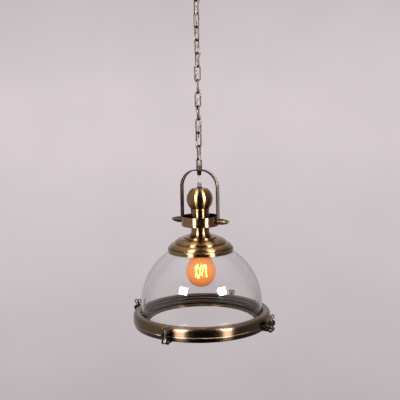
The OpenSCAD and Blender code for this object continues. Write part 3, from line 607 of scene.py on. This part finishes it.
def milky_skin(name, color, clearness, gloss):
    """Soft clear plastic, a little cloudy."""
    material, tree, shader = new_material(name)
    set_constants(shader, Base_Color=color, Roughness=0.3, Transmission_Weight=clearness,
                  IOR=1.2, Specular_IOR_Level=gloss)
    return material


def plain_skin(name, color, roughness, variation=0.06, grain=0.002, depth=0.00001, **constants):
    """Moulded plastic, rubber or porcelain with faint unevenness."""
    material, tree, shader = new_material(name)
    uneven = noise(tree, object_place(tree), 1 / grain, 3, 0.6)
    darker = tuple(channel * (1 - variation) for channel in color[:3]) + (1,)
    tree.links.new(mixed(tree, ranged(tree, uneven, 0.35, 0.65, 0, 1), color, darker),
                   shader.inputs["Base Color"])
    tree.links.new(ranged(tree, uneven, 0.3, 0.7, roughness * 0.9, min(1, roughness * 1.1)),
                   shader.inputs["Roughness"])
    bump(tree, shader, uneven, depth)
    set_constants(shader, **constants)
    return material


BRASS, BRASS_DARK = (0.40, 0.235, 0.105, 1), (0.25, 0.14, 0.06, 1)
CUP_LIP = 0.0008           # how much of the cup's wall keeps its colour from its outside in; further in it is painted shade
CANOPY_GROOVE = 0.0094     # height of the groove over the canopy's foot
RING_SIDE = 0.0095         # from the glass foot's edge to the ring's side; lugs beyond are painted near-black
RIDGE_MARGIN = 0.006       # how far inside the ring's side the ridges end
RIM_OVER_SEAM = 0.0006     # height of the ring's painted highlight line over the seam of its halves
MATERIALS = {}


def make_metals():
    ring_outside = high("glass_dome")[0] + RING_SIDE
    MATERIALS.update(
        # the canopy's rim has a groove painted dark as shade
        polished_brass=spun_metal("antique_brass_spun", BRASS, BRASS_DARK,
                                  groove=low("canopy")[2] + CANOPY_GROOVE),
        # inside its lip the cup is painted near-black as shade
        cup_brass=spun_metal("antique_brass_turned", (0.43, 0.255, 0.155, 1), BRASS_DARK,
                             near_black_radii=(high("cup")[0] - CUP_LIP, 1.0)),
        rose_brass=spun_metal("antique_brass_rose", BRASS, BRASS_DARK),
        # near-black lugs, painted highlights on the ridge crests and on a line over the seam
        ring_bronze=spun_metal("bronze_ring", (0.205, 0.13, 0.08, 1), (0.10, 0.058, 0.038, 1),
                               patch=0.05, near_black_radii=(0.0, ring_outside),
                               ridged=ring_outside - RIDGE_MARGIN,
                               rim=low("upper_ring")[2] + RIM_OVER_SEAM),
        cast_brass=cast_metal("brass_casting", (0.15, 0.11, 0.062, 1), (0.025, 0.017, 0.010, 1),
                              reach=0.004),
        dark_brass=cast_metal("dark_brass", (0.11, 0.08, 0.046, 1), (0.015, 0.011, 0.007, 1),
                              reach=0.004),
        black_brass=cast_metal("blackened_brass", (0.020, 0.016, 0.012, 1),
                               (0.008, 0.006, 0.005, 1)),
        # the chain's joints take the full painted shade of the corner mask
        chain_brass=cast_metal("chain_wire", (0.125, 0.096, 0.072, 1), (0.012, 0.008, 0.006, 1),
                               roughness=0.36, grain=0.003, patches=0.2, corners=1.0,
                               reach=0.010),
        strap_bronze=strap_metal(),
        bolt_steel=threaded_metal("plated_bolt", (0.40, 0.38, 0.34, 1), (0.06, 0.05, 0.04, 1),
                                  0.0008, 0.0003),
        raw_brass=threaded_metal("bright_brass", (0.72, 0.52, 0.24, 1), (0.35, 0.22, 0.08, 1),
                                 0.001, 0.0001),
        steel=strip_metal("plated_steel", (0.62, 0.62, 0.60, 1), (0.30, 0.30, 0.29, 1),
                          0.36, 0.00001)[0],
        hot_wire=hot_wire())


def make_skins():
    MATERIALS.update(
        clear_glass=dome_glass(),
        amber_glass=amber_glass(),
        stem_glass=clear_glass("bulb_stem_glass", (1, 0.97, 0.92, 1))[0],
        clear_plastic=milky_skin("clear_grip", (0.60, 0.60, 0.63, 1), 0.7, 0.2),
        clear_sheath=milky_skin("clear_sheath", (0.84, 0.81, 0.815, 1), 0.75, 0.05),
        cable_core=plain_skin("cable_core", (0.66, 0.63, 0.635, 1), 0.6,
                              Specular_IOR_Level=0.05),
        black_plastic=plain_skin("black_grip", (0.002, 0.002, 0.002, 1), 0.4,
                                 Specular_IOR_Level=0.12),
        seal_rubber=plain_skin("seal_rubber", (0.020, 0.009, 0.006, 1), 0.75,
                               Specular_IOR_Level=0.1),
        white_plastic=plain_skin("white_terminal", (0.80, 0.80, 0.78, 1), 0.35),
        ceramic=plain_skin("glazed_porcelain", (0.82, 0.80, 0.75, 1), 0.15, Coat_Weight=0.5))


BLACKENED = ("top_bush", "pivot_washers")


def dress_nodes():
    for part in frame["record"]["subparts"]:
        mesh = NODES[part["node"]].data
        slot = "black_brass" if part["node"] in BLACKENED else part["material_slot"]
        if not mesh.materials:
            mesh.materials.append(MATERIALS[slot])
        for index in range(len(mesh.materials)):
            mesh.materials[index] = MATERIALS[slot]


# Pieces of geometry nodes: the cable's stretches and the terminal screws

def realized(tree, geometry, material):
    """Plain geometry with its material, as a group's result."""
    solid = add_node(tree, "GeometryNodeRealizeInstances", {"Geometry": geometry}).outputs[0]
    return add_node(tree, "GeometryNodeSetMaterial", {
        "Geometry": solid, "Material": material}).outputs[0]


def strands_tree():
    """Round strands laid in a spiral about a path, between two lengths along it."""
    tree, given, out = new_group(
        "strands_on_a_path",
        [("Path", GEOMETRY, None), ("Start", FLOAT, 0.0), ("End", FLOAT, 1.0),
         ("Radius", FLOAT, 0.002), ("Offset", FLOAT, 0.0), ("Lay", FLOAT, 0.02),
         ("Strands", "NodeSocketInt", 1), ("Sides", "NodeSocketInt", 10),
         ("Material", MATERIAL, None)],
        [("Geometry", GEOMETRY)], "GeometryNodeTree")
    kept = add_node(tree, "GeometryNodeCaptureAttribute")
    kept.capture_items.new("FLOAT", "Travel")
    kept.capture_items.new("VECTOR", "Normal")
    kept.capture_items.new("VECTOR", "Tangent")
    sources = (given["Path"],
               add_node(tree, "GeometryNodeSplineParameter").outputs["Length"],
               add_node(tree, "GeometryNodeInputNormal").outputs[0],
               add_node(tree, "GeometryNodeInputTangent").outputs[0])
    for index, source in enumerate(sources):
        tree.links.new(source, kept.inputs[index])
    path, travel, normal, tangent = (kept.outputs[index] for index in range(4))
    trimmed = add_node(tree, "GeometryNodeTrimCurve", {
        0: path, 4: given["Start"], 5: given["End"]}, mode="LENGTH").outputs[0]
    copies = add_node(tree, "GeometryNodeDuplicateElements", {
        "Geometry": trimmed, "Amount": given["Strands"]}, domain="SPLINE").outputs
    share = math_node(tree, "DIVIDE", copies["Duplicate Index"], given["Strands"])
    turns = math_node(tree, "ADD", math_node(tree, "DIVIDE", travel, given["Lay"]), share)
    angle = scaled(tree, turns, 2 * math.pi)
    side = vector_node(tree, "CROSS_PRODUCT", tangent, normal)[0]
    outward = vector_node(tree, "ADD",
                          scaled_vector(tree, normal, math_node(tree, "COSINE", angle)),
                          scaled_vector(tree, side, math_node(tree, "SINE", angle)))[0]
    laid = add_node(tree, "GeometryNodeSetPosition", {
        "Geometry": copies["Geometry"],
        "Offset": scaled_vector(tree, outward, given["Offset"])}).outputs[0]
    circle = add_node(tree, "GeometryNodeCurvePrimitiveCircle", {
        "Resolution": given["Sides"], "Radius": given["Radius"]}).outputs[0]
    tubes = add_node(tree, "GeometryNodeCurveToMesh", {
        "Curve": laid, "Profile Curve": circle, "Fill Caps": True}).outputs[0]
    smooth = add_node(tree, "GeometryNodeSetShadeSmooth", {"Geometry": tubes}).outputs[0]
    tree.links.new(realized(tree, smooth, given["Material"]), out["Geometry"])
    return tree


def screws_tree():
    """Slotted screw heads, one on each point."""
    tree, given, out = new_group(
        "slotted_heads",
        [("Points", GEOMETRY, None), ("Radius", FLOAT, 0.0015), ("Height", FLOAT, 0.002),
         ("Slot", FLOAT, 0.0005), ("Material", MATERIAL, None)],
        [("Geometry", GEOMETRY)], "GeometryNodeTree")
    head = add_node(tree, "GeometryNodeMeshCylinder", {
        "Vertices": 24, "Radius": given["Radius"], "Depth": given["Height"]}).outputs["Mesh"]
    bar = combined(tree, scaled(tree, given["Radius"], 3), given["Slot"], given["Height"])
    cutter = add_node(tree, "GeometryNodeTransform", {
        "Geometry": add_node(tree, "GeometryNodeMeshCube", {"Size": bar}).outputs["Mesh"],
        "Translation": combined(tree, 0.0, 0.0, scaled(tree, given["Height"], 0.6))}).outputs[0]
    slotted = add_node(tree, "GeometryNodeMeshBoolean", {
        0: head, 1: cutter}, operation="DIFFERENCE").outputs[0]
    placed = add_node(tree, "GeometryNodeInstanceOnPoints", {
        "Points": given["Points"], "Instance": slotted}).outputs[0]
    tree.links.new(realized(tree, placed, given["Material"]), out["Geometry"])
    return tree


def poly_curve(name, points):
    data = bpy.data.curves.new(name, "CURVE")
    data.dimensions = "3D"
    spline = data.splines.new("POLY")
    spline.points.add(len(points) - 1)
    for point, place in zip(spline.points, points):
        point.co = (*place, 1)
    return data


def made_by(tree, name, data, values):
    """The plain mesh object that a geometry tree makes from data."""
    source = bpy.data.objects.new(name + "_source", data)
    bpy.context.scene.collection.objects.link(source)
    modifier = source.modifiers.new("made", "NODES")
    modifier.node_group = tree
    names = {item.name: item.identifier
             for item in tree.interface.items_tree if item.in_out == "INPUT"}
    for label, value in values.items():
        modifier[names[label]] = value
    bpy.context.view_layer.update()
    depsgraph = bpy.context.evaluated_depsgraph_get()
    mesh = bpy.data.meshes.new_from_object(source.evaluated_get(depsgraph))
    bpy.data.objects.remove(source)
    mesh.name = name
    piece = bpy.data.objects.new(name, mesh)
    bpy.context.scene.collection.objects.link(piece)
    return piece


# Each kind of strand in the cable: radius, distance from its middle, count, sides, material
STRANDS = {"cable_sheath": (0.00185, 0.0, 1, 14, "clear_sheath"),
           "cable_cores": (0.00062, 0.00072, 2, 8, "cable_core")}
CORE_LAY = 0.024           # length of one turn of the cores
CURVE_STEPS = 6            # from each control point to the next


def add_cable():
    """The clear cable, one stretch for each joint that it passes."""
    points, in_links = cable_route()
    curve = through(points, CURVE_STEPS)
    lengths = [0.0]
    for a, b in zip(curve, curve[1:]):
        lengths.append(lengths[-1] + (b - a).length)
    in_grip = len(points) - 1 - len(HEAD_HEIGHTS)
    cuts = [lengths[k * CURVE_STEPS] for k in (0, *in_links, in_grip, len(points) - 1)]
    data = poly_curve("cable_path", curve)
    tree = strands_tree()
    for k, (start, end) in enumerate(zip(cuts, cuts[1:])):
        for name, (radius, offset, strands, sides, material) in STRANDS.items():
            piece = made_by(tree, f"{name}_{k + 1:02d}", data, {
                "Start": start, "End": end, "Radius": radius, "Offset": offset,
                "Lay": CORE_LAY, "Strands": strands, "Sides": sides,
                "Material": MATERIALS[material]})
            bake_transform(piece)
            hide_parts("mains_cable")


SCREW_RADIUS = 0.00145
SCREW_HEIGHT = 0.0024
SCREW_SLOT = 0.0005
SCREW_DEPTH = 0.0030       # from the block's top down to a screw's middle
SCREW_ACROSS = (0.004, 0.011)      # from the block's corner, along X
SCREW_ALONG = (0.005, 0.015)       # and along Y


def add_terminal_screws():
    """The four clamp screws, sunk in the terminal block."""
    corner, top = Vector(low("terminal_block")), high("terminal_block")[2]
    points = bpy.data.meshes.new("screw_points")
    places = [(corner.x + x, corner.y + y, top - SCREW_DEPTH)
              for x in SCREW_ACROSS for y in SCREW_ALONG]
    points.from_pydata(places, [], [])
    screws = made_by(screws_tree(), "terminal_screws", points, {
        "Radius": SCREW_RADIUS, "Height": SCREW_HEIGHT, "Slot": SCREW_SLOT,
        "Material": MATERIALS["bolt_steel"]})
    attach(screws, "rose")


# Studio: a pale floor, two lamps beside the camera and a room all round

LIGHT_TARGET = Vector((0, 0, -0.62))
LIGHTS = {"left": (-38.5, 28), "right": (43, 25.3)}    # degrees round from the camera, and up
LIGHT_SIZE = (0.60, 0.50)
LIGHT_TINT = (1.0, 0.98, 0.95)
# At each place one lamp is mirrored and one gives the plain light, a little further off
MIRRORED_LAMP = {"distance": 2.0, "radiance": 26}
PLAIN_LAMP = {"distance": 2.05, "radiance": 10}
FLOOR_HEIGHT = -1.9
FLOOR_RADIUS = 2.2
WALL = linear(216, 206, 209)


def from_lamp(azimuth, elevation, distance):
    """A place at that distance from the pendant; azimuth is counted from the camera."""
    turn = math.radians(VIEW_AZIMUTH + azimuth)
    up = math.radians(elevation)
    return LIGHT_TARGET + distance * Vector((
        math.cos(up) * math.sin(turn), -math.cos(up) * math.cos(turn), math.sin(up)))


def add_soft_box(name, direction, mirrored, distance, radiance):
    data = bpy.data.lights.new(name, "AREA")
    data.shape = "RECTANGLE"
    data.size, data.size_y = LIGHT_SIZE
    data.energy = radiance * math.pi * data.size * data.size_y
    data.color = LIGHT_TINT
    light = bpy.data.objects.new(name, data)
    light.location = from_lamp(*direction, distance)
    light.rotation_euler = (LIGHT_TARGET - light.location).to_track_quat("-Z", "Y").to_euler()
    light.visible_camera = False
    light.visible_diffuse = not mirrored
    light.visible_glossy = mirrored
    light.visible_transmission = False
    bpy.context.scene.collection.objects.link(light)


# The room as metal mirrors it, by azimuth from the camera: dark behind the camera, a tall bright
# panel to each side of it, and the pale wall further round
ROOM_LEVELS = ((-180, 0.52), (-120, 0.31), (-78, 0.40), (-52, 0.28), (-25, 0.016), (30, 0.016),
               (54, 0.10), (80, 0.14), (120, 0.20), (180, 0.52))
PANELS = ((-43.5, -28.5), (34.5, 48.5))
PANEL_SOFTNESS = 1.0
PANEL_FOOT, PANEL_FADE, PANEL_TOP = -23, -5, 62        # it fades in from its foot upwards
PANEL_RADIANCE = 10.0
CEILING_LEVEL = 0.80
CEILING_START, CEILING_FULL = 34, 62                   # elevations
CEILING_CLEAR, CEILING_WIDE = 25, 70                   # azimuths: it is dim over the camera
DIM_SHARE = 0.12
GROUND_FULL, GROUND_START = -48, -22                   # elevations where the room darkens
GROUND_SHARE = 0.06
PLAIN_ROOM = (0.60, 0.585, 0.59, 1)                    # what lights the matt surfaces


def room_gray(level):
    return (level * 1.03, level * 0.98, level, 1)


def band(tree, value, start, end):
    """1 where the value lies between start and end, 0 outside, with soft edges."""
    rising = ranged(tree, value, start - PANEL_SOFTNESS, start + PANEL_SOFTNESS, 0, 1)
    falling = ranged(tree, value, end - PANEL_SOFTNESS, end + PANEL_SOFTNESS, 1, 0)
    return math_node(tree, "MINIMUM", rising, falling)


def sky_angles(tree, direction):
    """Azimuth from the camera and elevation of a direction, in degrees."""
    view = math.radians(VIEW_AZIMUTH)
    sideways, towards, upwards = (
        vector_node(tree, "DOT_PRODUCT", direction, axis)["Value"]
        for axis in ((math.cos(view), math.sin(view), 0), (math.sin(view), -math.cos(view), 0),
                     (0, 0, 1)))
    azimuth = math_node(tree, "DEGREES", math_node(tree, "ARCTAN2", sideways, towards))
    return azimuth, math_node(tree, "DEGREES", math_node(tree, "ARCSINE", upwards))


def dim_room(tree, azimuth, elevation):
    """The room without its panels."""
    ramp = add_node(tree, "ShaderNodeValToRGB", {"Fac": ranged(tree, azimuth, -180, 180, 0, 1)})
    stops = ramp.color_ramp.elements
    stops[0].position, stops[1].position = 0, 1
    for turn, _ in ROOM_LEVELS[1:-1]:
        stops.new((turn + 180) / 360)
    for stop, (_, level) in zip(stops, ROOM_LEVELS):
        stop.color = room_gray(level)
    shaded = ranged(tree, elevation, GROUND_FULL, GROUND_START, GROUND_SHARE, 1)
    walls = scaled_vector(tree, ramp.outputs["Color"], shaded)
    aside = ranged(tree, math_node(tree, "ABSOLUTE", azimuth),
                   CEILING_CLEAR, CEILING_WIDE, DIM_SHARE, 1)
    raised = scaled(tree, ranged(tree, elevation, CEILING_START, CEILING_FULL, 0, 1), aside)
    return mixed(tree, raised, walls, room_gray(CEILING_LEVEL))


def lit_room(tree, room, azimuth, elevation):
    """The room with its two bright panels."""
    sides = math_node(tree, "MAXIMUM", *(band(tree, azimuth, *panel) for panel in PANELS))
    foot = ranged(tree, elevation, PANEL_FOOT, PANEL_FADE, 0, 1)
    top = ranged(tree, elevation, PANEL_TOP, PANEL_TOP + 4, 1, 0)
    panels = scaled(tree, sides, math_node(tree, "MINIMUM", foot, top))
    glow = tuple(PANEL_RADIANCE * channel for channel in LIGHT_TINT) + (1,)
    return mixed(tree, panels, room, glow)


def seen_wall(tree, direction, elevation):
    """The pale mottled wall as the camera sees it, straight or through glass."""
    mottle = noise(tree, direction, 9.0, 3, 0.5)
    shade = tuple(channel * 0.95 for channel in WALL[:3]) + (1,)
    wall = mixed(tree, ranged(tree, mottle, 0.35, 0.65, 0, 1), WALL, shade)
    falloff = math_node(tree, "MINIMUM", ranged(tree, elevation, 0, 7, 1, 0.86),
                        ranged(tree, elevation, -21, -4, 0.75, 1))
    return scaled_vector(tree, wall, falloff)


def add_world():
    world = bpy.data.worlds.new("studio")
    bpy.context.scene.world = world
    world.use_nodes = True
    tree = world.node_tree
    direction = add_node(tree, "ShaderNodeTexCoord").outputs["Generated"]
    azimuth, elevation = sky_angles(tree, direction)
    room = dim_room(tree, azimuth, elevation)
    rays = add_node(tree, "ShaderNodeLightPath").outputs
    bounced = math_node(tree, "ADD", rays["Glossy Depth"], rays["Diffuse Depth"])
    seen = math_node(tree, "MAXIMUM", rays["Is Camera Ray"], rays["Is Transmission Ray"])
    straight = scaled(tree, seen, math_node(tree, "LESS_THAN", bounced, 0.5))
    in_glass = scaled(tree, rays["Is Glossy Ray"], rays["Is Singular Ray"])
    mirrored = mixed(tree, in_glass, lit_room(tree, room, azimuth, elevation), room)
    spread = mixed(tree, rays["Is Glossy Ray"], PLAIN_ROOM, mirrored)
    wall = seen_wall(tree, direction, elevation)
    tree.links.new(mixed(tree, straight, spread, wall), tree.nodes["Background"].inputs["Color"])


def add_floor():
    mesh = bpy.data.meshes.new("floor")
    shape = bmesh.new()
    bmesh.ops.create_circle(shape, cap_ends=True, segments=96, radius=FLOOR_RADIUS,
                            matrix=Matrix.Translation((0, 0, FLOOR_HEIGHT)))
    shape.to_mesh(mesh)
    shape.free()
    floor = bpy.data.objects.new("floor", mesh)
    mesh.materials.append(plain_skin("floor", WALL, 0.8, variation=0.03, grain=0.3, depth=0.0))
    bpy.context.scene.collection.objects.link(floor)
    floor.visible_glossy = False


def add_studio():
    for name, direction in LIGHTS.items():
        add_soft_box(f"gloss_box_{name}", direction, True, **MIRRORED_LAMP)
        add_soft_box(f"soft_box_{name}", direction, False, **PLAIN_LAMP)
    add_world()
    add_floor()
    bpy.context.scene.view_settings.view_transform = "Standard"


make_metals()
make_skins()
dress_nodes()
add_cable()
add_terminal_screws()
add_studio()
